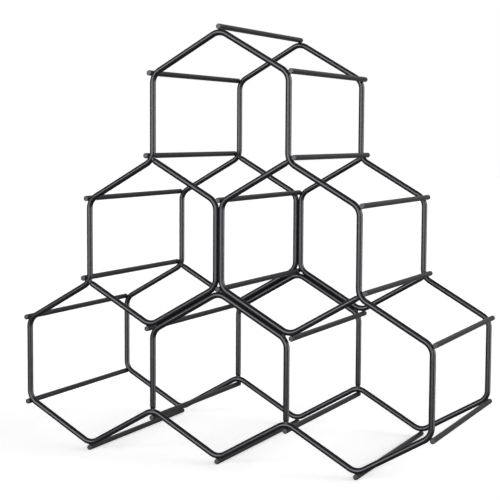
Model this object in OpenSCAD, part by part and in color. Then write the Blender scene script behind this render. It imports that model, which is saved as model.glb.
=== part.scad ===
// Honeycomb wine rack: six hexagonal cells in rows of three, two and one.
// Each face, front and back, is four bent round wires that lie in one plane: an outline that runs
// round all six cells, and three cell wires that divide its inside. Straight rods join the two
// faces, one at each corner of the honeycomb. The rack stands on the three lowest rods.
// Millimetres, +Z up, +X to the right, front face at -Y.
// The origin is on the floor, under the middle of the rack.

/* [Honeycomb] */
// Width of a cell across its flats, between wire centrelines
cell_w = 100; // [90:1:120]
// Depth of the rack from front to back, over the wires
rack_d = 147; // [120:1:240]

/* [Wire] */
// Thickness of the bent face wires
wire_d = 4; // [3.4:0.1:4.4]
// Thickness of the straight cross rods
rod_d = 3.7; // [3:0.1:4]
// Radius of each bend, to the wire's centreline
bend_r = 9.9; // [8:0.1:11]
// Place of a rod on the bend above an outer side, as an angle over horizontal
upper_rod_angle = 30; // [25:1:45]
// Place of a rod on the bend below an outer side, as an angle under horizontal
lower_rod_angle = 36; // [25:1:45]

/* [Look] */
// Colour of the painted wire
paint = "dimgray"; // [dimgray, black, gray]

/* [Hidden] */
$fn = 32;
bend_d = wire_d + 0.1;                        // bending swells the wire a little
lap = 0.3;                                    // how far a straight leg runs into each bend
cell_side = cell_w / sqrt(3);                 // length of one side of a hexagon
face_plane = (rack_d - bend_d) / 2;           // centre plane of each face, from the middle
corner_cut = bend_r * (1 / cos(30) - 1);      // how far a bend runs inside its sharp corner
touch = (bend_d + rod_d) / 2;                 // centre distance of a rod that touches a bend
butt = bend_d / 2 - corner_cut;               // how far before a corner a butted wire's end stops
base_z = touch - corner_cut + rod_d / 2;      // height of the lowest corners over the floor
middle_shift = bend_d / 2 * [1, tan(30)];     // moves a right cell wire off its shared sides
drop = [0, -bend_d * tan(30)];                // moves the house wire off its shared sides

// Sharp corner of the honeycomb in [x, z]. Columns are half a cell apart, with 0 in the middle.
// Levels go from 0, the lowest corners, to 7, the peak.
function corner(column, level) =
    [column * cell_w / 2, base_z + cell_side * (1.5 * floor(level / 2) + 0.5 * (level % 2))];
function mirrored(points) = [for (i = [len(points) - 1:-1:0]) [-points[i].x, points[i].y]];
function flip(point, side) = [side * point.x, point.y];
function unit(v) = v / norm(v);
function shortened(from, to, cut) = from + unit(to - from) * (norm(to - from) - cut);

// Outline of the whole face: peak, right side, zigzag bottom and left side
right_side = [for (p = [[1, 6], [1, 5], [2, 4], [2, 3], [3, 2], [3, 1], [2, 0], [1, 1]]) corner(p[0], p[1])];
outline = concat([corner(0, 7)], right_side, [corner(0, 0)], mirrored(right_side));

// Right cell of the middle row: from the top cell's lower corner, down the middle of the rack,
// through a V that carries the bottle, and out to the outline again
right_cell_top = corner(0, 4) + middle_shift;
right_cell_v = corner(1, 2) + middle_shift;
right_cell = [
    shortened(right_cell_top, corner(1, 5), butt),
    right_cell_top,
    corner(0, 3) + middle_shift,
    right_cell_v,
    shortened(right_cell_v, corner(2, 3), butt)
];

// Centre cell of the bottom row: a house shape that stands on the outline's two inner peaks
house_right = [corner(1, 2) + drop, shortened(corner(1, 2) + drop, corner(1, 1), butt)];
house = concat(mirrored(house_right), [corner(0, 3) + drop], house_right);

// Where each rod crosses the faces, in [x, z]. Every rod lies against the wires from outside.
function outside(p, direction) = p + direction * (touch - corner_cut);
function in_hollow(p, direction) = p + direction * (touch + corner_cut);
// A rod on the rounded side of an outer bend, above a vertical side or below it
function on_side_bend(p, angle) =
    p - bend_r * [1, sign(angle) * tan(30)] + (bend_r + touch) * [cos(angle), sin(angle)];
// A rod in the notch over the two middle verticals
notch_bend = right_cell_top + bend_r * [1, -tan(30)];
notch_rod = [0, notch_bend.y + sqrt(pow(bend_r + touch, 2) - pow(notch_bend.x, 2))];
// A rod on the peak of the house, between the two middle verticals
house_peak_rod = outside(corner(0, 3) + drop, [0, 1]);
// A rod under the V, in line with the outer side of the house wall
v_bend = right_cell_v + [0, bend_r / cos(30)];
v_rod_x = corner(1, 2).x + touch;
v_rod = [v_rod_x, v_bend.y - sqrt(pow(bend_r + touch, 2) - pow(v_rod_x - v_bend.x, 2))];

hollow_side = [cos(30), sin(30)];
// Rods on the middle of the rack, and rods that come in a left and a right
MIDDLE_RODS = [
    ["rod_peak", outside(corner(0, 7), [0, 1])],
    ["rod_row2_upper_middle", notch_rod],
    ["rod_row2_lower_middle", house_peak_rod],
    ["rod_foot_middle", outside(corner(0, 0), [0, -1])]
];
PAIRED_RODS = [
    ["rod_row3_upper", on_side_bend(corner(1, 6), upper_rod_angle)],
    ["rod_row3_lower", in_hollow(corner(1, 5), hollow_side)],
    ["rod_row2_upper", on_side_bend(corner(2, 4), upper_rod_angle)],
    ["rod_row2_lower", in_hollow(corner(2, 3), hollow_side)],
    ["rod_row1_upper_outer", on_side_bend(corner(3, 2), upper_rod_angle)],
    ["rod_row1_upper_inner", v_rod],
    ["rod_row1_lower_outer", on_side_bend(corner(3, 1), -lower_rod_angle)],
    ["rod_row1_lower_inner", in_hollow(corner(1, 1), [0, -1])],
    ["rod_foot", outside(corner(2, 0), [0, -1])]
];
SIDES = [["left", -1], ["right", 1]];
RODS = concat(MIDDLE_RODS, [for (r = PAIRED_RODS, s = SIDES) [str(r[0], "_", s[0]), flip(r[1], s[1])]]);
FACES = [["front", -face_plane], ["back", face_plane]];

// Straight leg of wire between two points of the face plane
module leg(from, to) {
    run = to - from;
    translate([from.x, 0, from.y])
        rotate([0, atan2(run.x, run.y), 0])
            cylinder(d = wire_d, h = norm(run));
}

// Bend that rounds the corner p between the legs from a and to b
module bend(a, p, b) {
    into = unit(p - a);
    out = unit(b - p);
    turn = into.x * out.y - into.y * out.x > 0 ? 1 : -1;
    turn_angle = acos(into * out);
    centre = p - into * bend_r * tan(turn_angle / 2) + turn * bend_r * [-into.y, into.x];
    first = atan2(-turn * into.x, turn * into.y);
    translate([centre.x, 0, centre.y])
        rotate([90, 0, 0])
            rotate([0, 0, turn > 0 ? first : first - turn_angle])
                rotate_extrude(angle = turn_angle)
                    translate([bend_r, 0])
                        circle(d = bend_d);
}

// How far before the corner p the legs from a and to b stop, inside the bend
function setback(a, p, b) = bend_r * tan(acos(unit(p - a) * unit(b - p)) / 2) - lap;

// Open bent wire through its corners
module open_wire(points) {
    last = len(points) - 1;
    cuts = [
        for (i = [0:last])
            i == 0 || i == last ? 0 : setback(points[i - 1], points[i], points[i + 1])
    ];
    for (i = [0:last - 1])
        leg(shortened(points[i + 1], points[i], cuts[i]), shortened(points[i], points[i + 1], cuts[i + 1]));
    for (i = [1:last - 1])
        bend(points[i - 1], points[i], points[i + 1]);
}

// Closed bent wire through its corners
module closed_wire(points) {
    count = len(points);
    function at(i) = points[(i + count) % count];
    for (i = [0:count - 1]) {
        leg(
            shortened(at(i + 1), at(i), setback(at(i - 1), at(i), at(i + 1))),
            shortened(at(i), at(i + 1), setback(at(i), at(i + 1), at(i + 2)))
        );
        bend(at(i - 1), at(i), at(i + 1));
    }
}

// Outer wire of a face, closed round all six cells
module outline_wire(y) {
    color(paint) translate([0, y, 0]) closed_wire(outline);
}

// Wire that completes the left or right cell of the middle row
module side_cell_wire(y, side) {
    color(paint) translate([0, y, 0]) open_wire(side > 0 ? right_cell : mirrored(right_cell));
}

// Wire that completes the centre cell of the bottom row
module house_wire(y) {
    color(paint) translate([0, y, 0]) open_wire(house);
}

// Straight rod from the front of one face to the back of the other
module cross_rod(place) {
    color(paint)
        translate([place.x, rack_d / 2, place.y])
            rotate([90, 0, 0])
                cylinder(d = rod_d, h = rack_d);
}

for (f = FACES) {
    outline_wire(f[1]);
    side_cell_wire(f[1], -1);
    side_cell_wire(f[1], 1);
    house_wire(f[1]);
}
for (r = RODS)
    cross_rod(r[1]);
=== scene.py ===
"""Looks of the honeycomb wine rack: smooth bent wires, cut rods and weld beads in black powder coat.

Metres, in the CAD's own frame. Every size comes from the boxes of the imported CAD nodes, apart from
the small details that CAD leaves out, which are named below. A wire's straight legs are as thick
here as its bends, 0.05 mm more all round than in CAD, so that wires side by side touch all along.
"""

import math

import bpy
import numpy as np
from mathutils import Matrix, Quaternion, Vector


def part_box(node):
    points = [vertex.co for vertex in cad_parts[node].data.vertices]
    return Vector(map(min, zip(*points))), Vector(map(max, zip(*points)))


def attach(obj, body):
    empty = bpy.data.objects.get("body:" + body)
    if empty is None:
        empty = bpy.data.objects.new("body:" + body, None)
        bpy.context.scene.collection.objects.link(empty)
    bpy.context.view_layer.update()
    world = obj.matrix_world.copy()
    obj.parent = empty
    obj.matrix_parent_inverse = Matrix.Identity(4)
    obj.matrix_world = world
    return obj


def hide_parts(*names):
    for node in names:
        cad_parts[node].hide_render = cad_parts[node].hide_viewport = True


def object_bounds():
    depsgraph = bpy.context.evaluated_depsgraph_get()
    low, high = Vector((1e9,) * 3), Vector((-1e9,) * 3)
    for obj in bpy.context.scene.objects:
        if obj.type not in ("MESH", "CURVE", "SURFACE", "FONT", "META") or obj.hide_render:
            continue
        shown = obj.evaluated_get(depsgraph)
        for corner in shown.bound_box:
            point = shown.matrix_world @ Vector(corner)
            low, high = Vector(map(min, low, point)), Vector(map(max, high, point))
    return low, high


MM = 0.001

# Fineness of the meshes
BEND_STEPS = 14
WIRE_SIDES = 32
NECK_STEPS = 6
ROD_SIDES = 40
RIM_STEPS = 5
WELD_SIDES = 28
WELD_STEPS = 8
STRAIGHT_RUN = 0.5 * MM  # distance of the straight stations from a bend
CONTACT_STEP = 0.1 * MM  # spacing of the points among which contacts are looked for

# Squeezed end of a wire, where it stands on the outline
NECK_R = 1.65 * MM  # radius of its waist
NECK_RUN = 2.2 * MM  # its length
NECK_FLAT = 0.15  # share of that length over which the waist is even
NECK_SUNK = 0.6  # how deep its end sits in the outline, in wire radii

# Cut end of a rod
ROD_EDGE = 0.4 * MM  # radius of its rounded rim
NOTCH_SHADED_ROD = "rod_row2_upper_middle"  # its ends are left as dark as the rest of it: painted shade, as they sit in a notch between wires

# Weld beads
CONTACT_SLACK = 0.3 * MM  # a rod this close to a wire is welded to it
WELD_REACH = 1.4 * MM  # how far a bead spreads over the wire and the rod
WELD_UNEVEN = 0.10  # share by which a bead's edge wanders
BEAD_WAIST = 0.45  # how far out the hollow side of a bead is drawn, as a share of its reach
BEAD_ROOT = 0.7  # how far out its sunk rims lie, as a share of its reach
BEAD_SUNK = 0.3  # how deep those rims lie under the skin, in radii of the wire or rod
BUTT_ALONG = 2.4 * MM  # how far the bead round a squeezed end spreads along the outline
BUTT_ACROSS = 1.75 * MM  # how far that bead spreads across the outline
BUTT_CLIMB = 0.6  # how far up the squeezed end that bead climbs, as a share of NECK_RUN
FORK_RUN = 2.2 * MM  # how far past the parting of two wires the bead between them is centred
FORK_REACH = 2.0 * MM  # how far that bead reaches along the wires

# Powder coat, with the scales of its noises per metre
CLOUD_SCALE = 42
PEEL_SCALE = 1100
GRAIN_SCALE = 5200
PEEL_DEPTH = 0.03 * MM
GRAIN_DEPTH = 0.01 * MM
BUMP_STRENGTH = 0.15
CLOUD_SHARE = 0.6  # the rest of the paint's unevenness is grain
TONE_RANGE = (0.3, 0.7)  # part of a noise that is spread over the tones or the roughness
WIRE_TONES = ((0.007, 0.007, 0.008), (0.013, 0.013, 0.015))
ROD_TONES = ((0.008, 0.008, 0.009), (0.015, 0.015, 0.017))
WIRE_ROUGHNESS = (0.24, 0.32)
ROD_ROUGHNESS = (0.30, 0.38)
WELD_ROUGHNESS = (0.32, 0.42)
WORN_AND_SHEEN_RANGE = (0.35, 0.7)  # part of the orange peel's noise over which the pale paint rises, partly wear and partly painted highlight
LEAST_WORN_AND_SHEEN = 0.2  # share of that pale paint that is left where the orange peel is lowest
# Pale tone of cut ends and welds: partly wear, partly a painted highlight of the end faces
WORN_AND_SHEEN_TONE = (0.11, 0.11, 0.115, 1)
WORN_AND_SHEEN_SHARE = 0.5  # how much of the pale tone, wear and painted highlight, shows at full strength
WORN_ROUGHER = 0.12  # what full wear adds to the roughness
WELD_WEAR = 0.25
COOL_GLOSS = (0.937, 0.942, 1.0, 1)  # tint of the coat's reflections

# Studio
FLOOR_REACH = 6.0
FLOOR_GLOW = 0.46
FLOOR_ROUGHNESS = (0.75, 0.85)
AMBIENT = 0.10  # strength of the surroundings for the rack
BACKDROP = 1.0  # strength of the surroundings for the camera
LIGHTS = [  # name, azimuth, elevation, strength, spread
    ("left_light", -18, 12, 2.8, 45),
    ("front_light", 20, 4, 1.2, 34),
    ("right_light", 104, 12, 3.95, 64),
    ("back_light", 204, 10, 0.4, 80),
]

# Camera, at the photograph's angle
CAMERA_AZIMUTH = 23.97
CAMERA_ELEVATION = 4.84
CAMERA_ROLL = 0.34
CAMERA_DISTANCE = 0.9906
CAMERA_LENS = 98.64
CAMERA_AIM = Vector((-8.7 * MM, 0, -7.9 * MM))  # from the middle of the rack's box

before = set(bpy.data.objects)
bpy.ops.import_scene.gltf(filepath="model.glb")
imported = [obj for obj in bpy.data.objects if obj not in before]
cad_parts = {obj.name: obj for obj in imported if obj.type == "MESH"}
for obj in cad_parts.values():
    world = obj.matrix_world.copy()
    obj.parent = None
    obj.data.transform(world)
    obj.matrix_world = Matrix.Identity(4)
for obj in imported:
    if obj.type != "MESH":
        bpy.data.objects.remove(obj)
cad_low, cad_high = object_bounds()
rod_nodes = sorted(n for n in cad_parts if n.startswith("rod_"))


# ---------------------------------------------------------------- sizes from the frame


def middle(node):
    low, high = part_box(node)
    return (low + high) / 2


def extent(node):
    low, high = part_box(node)
    return high - low


cell_w = middle("rod_foot_right").x
cell_side = cell_w / math.sqrt(3)
rod_r = extent("rod_peak").x / 2
wire_r = (extent("front_outline_wire").x - 3 * cell_w) / 2
touch = wire_r + rod_r
peak_over_foot = middle("rod_peak").z - middle("rod_foot_middle").z
corner_cut = touch - (peak_over_foot - 5 * cell_side) / 2
half_turn = math.radians(30)  # half of what every bend turns
bend_r = corner_cut / (1 / math.cos(half_turn) - 1)
base_z = middle("rod_foot_middle").z + touch - corner_cut
slope = math.tan(half_turn)


# ---------------------------------------------------------------- the honeycomb in [x, z]


def corner(column, level):
    """Sharp corner of the honeycomb: columns are half a cell apart, levels go from 0 to 7."""
    return np.array([column * cell_w / 2, base_z + cell_side * (1.5 * (level // 2) + 0.5 * (level % 2))])


def unit(v):
    return v / np.linalg.norm(v)


def mirrored(points):
    return [p * (-1, 1) for p in points[::-1]]


def outline_corners():
    places = [(1, 6), (1, 5), (2, 4), (2, 3), (3, 2), (3, 1), (2, 0), (1, 1)]
    right = [corner(*place) for place in places]
    return [corner(0, 7), *right, corner(0, 0), *mirrored(right)]


def right_cell_corners():
    shift = wire_r * np.array([1, slope])
    return [corner(1, 5), corner(0, 4) + shift, corner(0, 3) + shift, corner(1, 2) + shift, corner(2, 3)]


def house_corners():
    drop = np.array([0, -2 * wire_r * slope])
    right = [corner(1, 2) + drop, corner(1, 1)]
    return [*mirrored(right), corner(0, 3) + drop, *right]


def on_outline(end, before):
    """Where a wire that runs from before to the outline's corner end meets the outline's skin."""
    return end + unit(before - end) * (wire_r - corner_cut)


def open_ends(corners):
    """The same corners, with both ends moved back onto the outline's skin."""
    return [on_outline(corners[0], corners[1]), *corners[1:-1], on_outline(corners[-1], corners[-2])]


class Station:
    """One place on a wire's centreline: point and tangent in [x, z], curvature vector and wire radius."""

    def __init__(self, point, tangent, curve, radius):
        self.point, self.tangent, self.curve, self.radius = point, tangent, curve, radius


def bend_stations(before, at, after):
    """Stations round the bend at a corner, with a straight one just before and after it."""
    into, out = unit(at - before), unit(after - at)
    turn_angle = math.acos(np.clip(into @ out, -1, 1))
    turn = math.copysign(1, into[0] * out[1] - into[1] * out[0])
    start = at - into * bend_r * math.tan(turn_angle / 2)
    inward = turn * np.array([-into[1], into[0]])
    centre = start + inward * bend_r
    stations = [Station(start - into * STRAIGHT_RUN, into, np.zeros(2), wire_r)]
    for k in range(BEND_STEPS + 1):
        a = turn * turn_angle * k / BEND_STEPS
        c, s = math.cos(a), math.sin(a)
        spin = np.array([[c, -s], [s, c]])
        arm = spin @ (start - centre)
        stations.append(Station(centre + arm, spin @ into, -arm / bend_r**2, wire_r))
    stations.append(Station(stations[-1].point + out * STRAIGHT_RUN, out, np.zeros(2), wire_r))
    return stations


def closed_stations(corners):
    count = len(corners)
    return [
        s
        for i in range(count)
        for s in bend_stations(corners[i - 1], corners[i], corners[(i + 1) % count])
    ]


def end_stations(end, towards):
    """The squeezed end of a wire, from inside the outline outwards along the wire."""
    along = unit(towards - end)
    profile = [(-NECK_SUNK * wire_r, NECK_R), (NECK_FLAT * NECK_RUN, NECK_R)]
    for k in range(1, NECK_STEPS + 1):
        share = k / NECK_STEPS
        reach = NECK_RUN * (NECK_FLAT + (1 - NECK_FLAT) * share)
        swell = (wire_r - NECK_R) * math.sin(share * math.pi / 2)
        profile.append((reach, NECK_R + swell))
    return [Station(end + along * reach, along, np.zeros(2), radius) for reach, radius in profile]


def open_stations(corners):
    stations = end_stations(corners[0], corners[1])
    for i in range(1, len(corners) - 1):
        stations += bend_stations(*corners[i - 1 : i + 2])
    far = end_stations(corners[-1], corners[-2])[::-1]
    return stations + [Station(s.point, -s.tangent, s.curve, s.radius) for s in far]


# ---------------------------------------------------------------- meshes


def mesh_object(name, vertices, faces, wear_and_sheen):
    """Smooth-shaded mesh with a value on each vertex for pale paint that is partly wear and partly painted
    highlight, riding on the rack's one body.
    """
    mesh = bpy.data.meshes.new(name)
    mesh.from_pydata([tuple(v) for v in vertices], [], faces)
    mesh.validate()
    mesh.shade_smooth()
    mesh.attributes.new("wear_and_sheen", "FLOAT", "POINT").data.foreach_set("value", np.array(wear_and_sheen, np.float32))
    piece = bpy.data.objects.new(name, mesh)
    bpy.context.scene.collection.objects.link(piece)
    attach(piece, "root")
    return piece


def skin(rings, closed=False):
    """Vertices and faces of a tube through rings of points.

    An open tube gets a centre point at each end.
    """
    count, sides = len(rings), len(rings[0])
    vertices = [p for ring in rings for p in ring]
    faces = []
    for i in range(count if closed else count - 1):
        a, b = i * sides, (i + 1) % count * sides
        faces += [(a + j, a + (j + 1) % sides, b + (j + 1) % sides, b + j) for j in range(sides)]
    if not closed:
        first, last = len(vertices), len(vertices) + 1
        vertices += [np.mean(rings[0], axis=0), np.mean(rings[-1], axis=0)]
        end = (count - 1) * sides
        faces += [(first, (j + 1) % sides, j) for j in range(sides)]
        faces += [(last, end + j, end + (j + 1) % sides) for j in range(sides)]
    return vertices, faces


def wire_piece(node, stations, y, closed):
    """The smooth wire that stands for a bent CAD wire."""
    depth = np.array([0, 1, 0])
    angles = np.arange(WIRE_SIDES) * math.tau / WIRE_SIDES
    rings = []
    for s in stations:
        across = np.array([s.tangent[1], 0, -s.tangent[0]])
        centre = np.array([s.point[0], y, s.point[1]])
        rings.append([centre + s.radius * (math.cos(a) * across + math.sin(a) * depth) for a in angles])
    vertices, faces = skin(rings, closed)
    piece = mesh_object(f"coated_{node}", vertices, faces, np.zeros(len(vertices)))
    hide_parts(node)
    return piece


def rod_piece(node):
    """The rod with cut ends that stands for a straight CAD rod."""
    low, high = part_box(node)
    centre = (low + high) / 2
    half = (high.y - low.y) / 2
    # The rod whose ends sit in a notch gets no pale end paint: its dark ends are painted shade
    end_wear_and_sheen = 0 if node == NOTCH_SHADED_ROD else 1
    # Distance from the rod's middle, radius and pale paint (partly wear, partly painted highlight), from
    # the flat end over the rim to the side
    end_profile = [(half, 0.5 * rod_r, end_wear_and_sheen), (half, rod_r - 1.3 * ROD_EDGE, end_wear_and_sheen)]
    for k in range(RIM_STEPS + 1):
        a = k / RIM_STEPS * math.pi / 2
        end_profile.append((half - ROD_EDGE * (1 - math.cos(a)), rod_r - ROD_EDGE * (1 - math.sin(a)), 0))
    end_profile.append((half - 1.6 * ROD_EDGE, rod_r, 0))
    profile = [(-y, r, w) for y, r, w in end_profile] + end_profile[::-1]
    angles = (np.arange(ROD_SIDES) + 0.5) * math.tau / ROD_SIDES
    rings = [
        [(centre.x + r * math.cos(a), centre.y + y, centre.z - r * math.sin(a)) for a in angles]
        for y, r, _ in profile
    ]
    vertices, faces = skin(rings)
    wear_and_sheen = [w for _, _, w in profile for _ in angles] + [end_wear_and_sheen, end_wear_and_sheen]
    piece = mesh_object(f"coated_{node}", vertices, faces, wear_and_sheen)
    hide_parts(node)
    return piece


def curve_between(start, handle, end):
    """Points of a quadratic Bezier curve in [distance, height]."""
    start, handle, end = np.array(start), np.array(handle), np.array(end)
    t = np.linspace(0, 1, WELD_STEPS)[:, None]
    return (1 - t) ** 2 * start + 2 * t * (1 - t) * handle + t**2 * end


def bead(spot, reach_along, reach_across, profile, rng):
    """Rings of a weld bead round a spot, from the member under it up to the one over it.

    profile gives the bead's side as (distance, height) points, for a reach along and across.
    """
    angles = np.arange(WELD_SIDES) * math.tau / WELD_SIDES
    wander = sum(math.sqrt(0.5) * np.cos(n * angles + rng.uniform(0, math.tau)) for n in (2, 3))
    columns = []
    for a, uneven in zip(angles, 1 + WELD_UNEVEN * wander):
        along, across = reach_along * uneven * math.cos(a), reach_across * uneven * math.sin(a)
        outward = unit(along * spot.tangent + across * np.array([0, 1, 0]))
        columns.append([spot.point + outward * d + spot.normal * h for d, h in profile(along, across)])
    return [list(ring) for ring in zip(*columns)]


def sag(radius, offset):
    """How far a round skin falls below its crown, at a distance across it."""
    return radius - math.sqrt(radius**2 - offset**2)


def wire_skin(spot, along, across):
    """Height of the wire's skin at a distance from a spot on its crown."""
    return -sag(wire_r, across) - spot.bow * along**2 / 2


def bridge(low, high, reach):
    """Side of a bead that joins two skins: sunk into both, and hollowed between them."""
    fillet = curve_between((reach, low), (BEAD_WAIST * reach, (low + high) / 2), (reach, high))
    root = BEAD_ROOT * reach
    return [(root, low - BEAD_SUNK * wire_r), *fillet, (root, high + BEAD_SUNK * rod_r)]


def rod_bead(spot, rng):
    """Weld between a wire and the rod that lies across it."""

    def profile(along, across):
        low, high = wire_skin(spot, along, across), spot.gap + sag(rod_r, along)
        return bridge(low, high, math.hypot(along, across))

    return bead(spot, WELD_REACH, WELD_REACH, profile, rng)


def fork_bead(spot, rng):
    """Weld between two wires that run side by side and then bend apart."""

    def profile(along, across):
        past = max(FORK_RUN + along, 0)
        half_gap = spot.gap / 2 + past**2 / (2 * bend_r) + sag(wire_r, across)
        return bridge(-half_gap, half_gap, math.hypot(along, across))

    return bead(spot, FORK_REACH, WELD_REACH, profile, rng)


def butt_bead(spot, rng):
    """Weld round a wire's end that stands on the outline."""
    top = BUTT_CLIMB * NECK_RUN
    upper_rim = (1.04 * NECK_R, top)
    inside_wire = (0.6 * NECK_R, top + 0.2 * NECK_RUN)

    def profile(along, across):
        reach = math.hypot(along, across)
        low = wire_skin(spot, along, across)
        fillet = curve_between((reach, low), (NECK_R, 0.3 * low), upper_rim)
        return [(BEAD_ROOT * reach, low - BEAD_SUNK * wire_r), *fillet, inside_wire]

    return bead(spot, BUTT_ALONG, BUTT_ACROSS, profile, rng)


# ---------------------------------------------------------------- contacts


def dense(stations, closed):
    """Points, tangents and curvature vectors every CONTACT_STEP or so along a wire."""
    following = stations[1:] + stations[:1] if closed else stations[1:]
    points, tangents, curves = [], [], []
    for s, e in zip(stations, following):
        steps = max(2, int(np.linalg.norm(e.point - s.point) / CONTACT_STEP))
        bent = s.curve.any() and e.curve.any()
        for t in np.arange(steps) / steps:
            points.append(s.point * (1 - t) + e.point * t)
            tangents.append(unit(s.tangent * (1 - t) + e.tangent * t))
            curves.append(s.curve * (1 - t) + e.curve * t if bent else np.zeros(2))
    return np.array(points), np.array(tangents), np.array(curves)


def lift(v):
    """A point or direction of the face plane in three dimensions."""
    return np.array([v[0], 0, v[1]])


class Spot:
    """Where a weld sits: point, normal and tangent in the face plane, bow of the skin and gap to close."""

    def __init__(self, point, normal, tangent, bow=0.0, gap=0.0):
        self.point, self.normal, self.tangent = lift(point), lift(normal), lift(tangent)
        self.bow, self.gap = bow, gap


def rod_spots(paths):
    """A spot on the wire's skin for every rod and wire that touch."""
    spots = []
    for node in rod_nodes:
        rod = np.array([middle(node).x, middle(node).z])
        for points, tangents, curves in paths:
            distance = np.linalg.norm(points - rod, axis=1)
            i = int(distance.argmin())
            gap = distance[i] - touch
            if gap < CONTACT_SLACK:
                normal = unit(rod - points[i])
                bow = -curves[i] @ normal
                skin_bow = bow / (1 + bow * wire_r)
                spots.append(Spot(points[i] + normal * wire_r, normal, tangents[i], skin_bow, gap))
    return spots


def butt_spots(open_wires):
    """A spot on the outline's skin under each end of each open wire."""
    ends = [pair for c in open_wires for pair in ((c[0], c[1]), (c[-1], c[-2]))]
    normals = [(end, unit(inner - end)) for end, inner in ends]
    return [Spot(end, n, np.array([n[1], -n[0]]), 1 / (bend_r + wire_r)) for end, n in normals]


def fork_spots():
    """A spot on each side where a cell wire's V and the house wire's shoulder bend apart."""
    v, shoulder = right_cell_corners()[3], house_corners()[3]
    down = unit(v - right_cell_corners()[2])
    apart = unit(v - shoulder)
    up = unit(apart - (apart @ down) * down)
    point = (v + shoulder) / 2 - down * (bend_r * slope - FORK_RUN)
    gap = (v - shoulder) @ up - 2 * wire_r
    right = Spot(point, up, down, gap=gap)
    left = Spot(point * (-1, 1), up * (-1, 1), down * (-1, 1), gap=gap)
    return [left, right]


def weld_piece(name, makers, y, seed):
    """All the weld beads of one face, as one mesh of closed beads.

    makers pairs the function that makes each kind of bead with its spots.
    """
    rng = np.random.default_rng(seed)
    vertices, faces = [], []
    for make, spots in makers:
        for spot in spots:
            bead_vertices, bead_faces = skin(make(spot, rng))
            faces += [tuple(i + len(vertices) for i in face) for face in bead_faces]
            vertices += [v + (0, y, 0) for v in bead_vertices]
    piece = mesh_object(name, vertices, faces, np.full(len(vertices), WELD_WEAR))
    return piece


# ---------------------------------------------------------------- materials


def feed(tree, socket, value):
    """Link a shader output to a socket, or set the socket to a plain value."""
    if isinstance(value, bpy.types.NodeSocket):
        tree.links.new(value, socket)
    else:
        socket.default_value = value


def node(tree, kind, **inputs):
    """New shader node with its inputs fed by name."""
    made = tree.nodes.new(kind)
    for name, value in inputs.items():
        feed(tree, made.inputs[name.replace("_", " ")], value)
    return made


def noise(tree, where, scale, detail):
    made = node(tree, "ShaderNodeTexNoise", Vector=where, Scale=scale, Detail=detail, Roughness=0.55)
    return made.outputs["Fac"]


def remap(tree, value, span, target):
    """The value as it crosses a span, spread over a target range."""
    limits = {"From_Min": span[0], "From_Max": span[1], "To_Min": target[0], "To_Max": target[1]}
    return node(tree, "ShaderNodeMapRange", Value=value, **limits).outputs["Result"]


def math_node(tree, operation, *values):
    made = tree.nodes.new("ShaderNodeMath")
    made.operation = operation
    for socket, value in zip(made.inputs, values):
        feed(tree, socket, value)
    return made.outputs["Value"]


def between_tones(tree, value, tones):
    """Colour that goes from the dark tone to the light one as the value crosses TONE_RANGE."""
    made = node(tree, "ShaderNodeValToRGB", Fac=value)
    for element, position, colour in zip(made.color_ramp.elements, TONE_RANGE, tones):
        element.position = position
        element.color = (*colour, 1)
    return made.outputs["Color"]


def powder_coat(name, tones, roughness):
    """Satin black powder coat: orange peel, fine grain, cloudy gloss, and paler paint on cut ends that is
    partly wear and partly a painted highlight.
    """
    material = bpy.data.materials.new(name)
    material.use_nodes = True
    tree = material.node_tree
    shader = tree.nodes["Principled BSDF"]
    shader.inputs["Specular Tint"].default_value = COOL_GLOSS
    where = tree.nodes.new("ShaderNodeTexCoord").outputs["Object"]
    clouds = noise(tree, where, CLOUD_SCALE, 3)
    peel = noise(tree, where, PEEL_SCALE, 2)
    grain = noise(tree, where, GRAIN_SCALE, 2)
    grain_part = math_node(tree, "MULTIPLY", grain, 1 - CLOUD_SHARE)
    tone = math_node(tree, "MULTIPLY_ADD", clouds, CLOUD_SHARE, grain_part)
    wear_and_sheen = tree.nodes.new("ShaderNodeAttribute")
    wear_and_sheen.attribute_name = "wear_and_sheen"
    patches = remap(tree, peel, WORN_AND_SHEEN_RANGE, (LEAST_WORN_AND_SHEEN, 1))
    worn_and_sheen = math_node(tree, "MULTIPLY", wear_and_sheen.outputs["Fac"], patches)

    # Mix in the pale tone where wear_and_sheen is set: partly wear, partly painted highlight on the rod
    # ends
    mix = tree.nodes.new("ShaderNodeMix")
    mix.data_type = "RGBA"
    feed(tree, mix.inputs["Factor"], math_node(tree, "MULTIPLY", worn_and_sheen, WORN_AND_SHEEN_SHARE))
    feed(tree, mix.inputs["A"], between_tones(tree, tone, tones))
    feed(tree, mix.inputs["B"], WORN_AND_SHEEN_TONE)
    feed(tree, shader.inputs["Base Color"], mix.outputs["Result"])

    rough = remap(tree, tone, TONE_RANGE, roughness)
    rougher = math_node(tree, "MULTIPLY", worn_and_sheen, WORN_ROUGHER)
    feed(tree, shader.inputs["Roughness"], math_node(tree, "ADD", rough, rougher))

    fine = node(tree, "ShaderNodeBump", Height=grain, Strength=BUMP_STRENGTH, Distance=GRAIN_DEPTH)
    coarse = node(tree, "ShaderNodeBump", Height=peel, Strength=BUMP_STRENGTH, Distance=PEEL_DEPTH)
    feed(tree, coarse.inputs["Normal"], fine.outputs["Normal"])
    feed(tree, shader.inputs["Normal"], coarse.outputs["Normal"])
    return material


def floor_paint():
    """Plain pale studio floor with a faint unevenness in its gloss."""
    material = bpy.data.materials.new("studio_floor")
    material.use_nodes = True
    tree = material.node_tree
    shader = tree.nodes["Principled BSDF"]
    shader.inputs["Base Color"].default_value = (0.9, 0.9, 0.9, 1)
    shader.inputs["Emission Color"].default_value = (1, 1, 1, 1)
    shader.inputs["Emission Strength"].default_value = FLOOR_GLOW
    where = tree.nodes.new("ShaderNodeTexCoord").outputs["Object"]
    patches = noise(tree, where, 3, 2)
    feed(tree, shader.inputs["Roughness"], remap(tree, patches, TONE_RANGE, FLOOR_ROUGHNESS))
    return material


# ---------------------------------------------------------------- the rack


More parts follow.
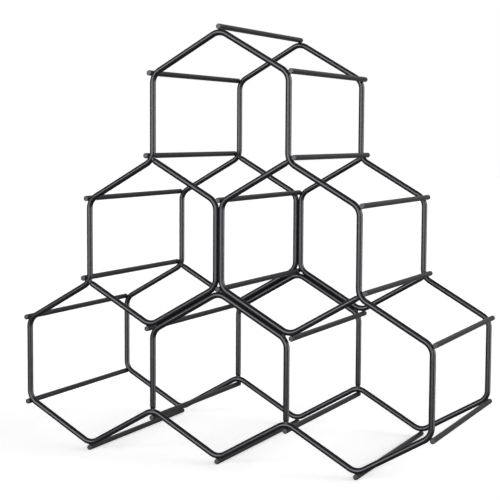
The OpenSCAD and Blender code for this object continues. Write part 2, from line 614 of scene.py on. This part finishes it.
def build_rack():
    wire_paint = powder_coat("wire_powder_coat", WIRE_TONES, WIRE_ROUGHNESS)
    rod_paint = powder_coat("rod_powder_coat", ROD_TONES, ROD_ROUGHNESS)
    weld_paint = powder_coat("weld_powder_coat", WIRE_TONES, WELD_ROUGHNESS)
    right_cell = open_ends(right_cell_corners())
    left_cell = mirrored(right_cell)
    house = open_ends(house_corners())
    wires = {
        "outline": (closed_stations(outline_corners()), True),
        "left_cell": (open_stations(left_cell), False),
        "right_cell": (open_stations(right_cell), False),
        "house": (open_stations(house), False),
    }
    welds = [
        (rod_bead, rod_spots([dense(*wire) for wire in wires.values()])),
        (butt_bead, butt_spots([left_cell, right_cell, house])),
        (fork_bead, fork_spots()),
    ]
    for seed, face in enumerate(("front", "back")):
        y = middle(f"{face}_outline_wire").y
        for part, (stations, closed) in wires.items():
            wire_piece(f"{face}_{part}_wire", stations, y, closed).data.materials.append(wire_paint)
        weld_piece(f"{face}_welds", welds, y, seed).data.materials.append(weld_paint)
    for name in rod_nodes:
        rod_piece(name).data.materials.append(rod_paint)


# ---------------------------------------------------------------- the studio


def direction(azimuth, elevation):
    """Unit vector out of the rack. Azimuth 0 is in front of it and 90 on its right, in degrees."""
    a, e = math.radians(azimuth), math.radians(elevation)
    return Vector((math.sin(a) * math.cos(e), -math.cos(a) * math.cos(e), math.sin(e)))


def build_floor():
    r = FLOOR_REACH
    mesh = bpy.data.meshes.new("floor")
    mesh.from_pydata([(-r, -r, 0), (r, -r, 0), (r, r, 0), (-r, r, 0)], [], [(0, 1, 2, 3)])
    mesh.materials.append(floor_paint())
    floor = bpy.data.objects.new("floor", mesh)
    floor.visible_glossy = False
    floor.visible_diffuse = False
    bpy.context.scene.collection.objects.link(floor)


def sun(name, azimuth, elevation, strength, spread):
    """Soft distant light from an azimuth and elevation, spread over an angle, all in degrees."""
    light = bpy.data.lights.new(name, "SUN")
    light.energy = strength
    light.angle = math.radians(spread)
    lamp = bpy.data.objects.new(name, light)
    towards = direction(azimuth, elevation)
    lamp.rotation_mode = "QUATERNION"
    lamp.rotation_quaternion = towards.to_track_quat("Z", "Y")
    lamp.location = towards
    bpy.context.scene.collection.objects.link(lamp)


def build_light():
    for light in LIGHTS:
        sun(*light)
    world = bpy.data.worlds.new("studio")
    world.use_nodes = True
    tree = world.node_tree
    background = tree.nodes["Background"]
    camera_ray = tree.nodes.new("ShaderNodeLightPath").outputs["Is Camera Ray"]
    feed(tree, background.inputs["Strength"], remap(tree, camera_ray, (0, 1), (AMBIENT, BACKDROP)))
    background.inputs["Color"].default_value = (1, 1, 1, 1)
    bpy.context.scene.world = world
    bpy.context.scene.view_settings.view_transform = "Standard"


def build_camera():
    """Camera at the photograph's angle, aimed a little left of and below the rack's middle."""
    back = direction(CAMERA_AZIMUTH, CAMERA_ELEVATION)
    roll = Quaternion((0, 0, 1), math.radians(CAMERA_ROLL))
    data = bpy.data.cameras.new("camera")
    data.lens = CAMERA_LENS
    data.sensor_width = 36
    camera = bpy.data.objects.new("camera", data)
    camera.location = (cad_low + cad_high) / 2 + CAMERA_AIM + back * CAMERA_DISTANCE
    camera.rotation_mode = "QUATERNION"
    camera.rotation_quaternion = (-back).to_track_quat("-Z", "Y") @ roll
    bpy.context.scene.collection.objects.link(camera)
    bpy.context.scene.camera = camera


build_rack()
build_floor()
build_light()
build_camera()

bpy.context.view_layer.update()
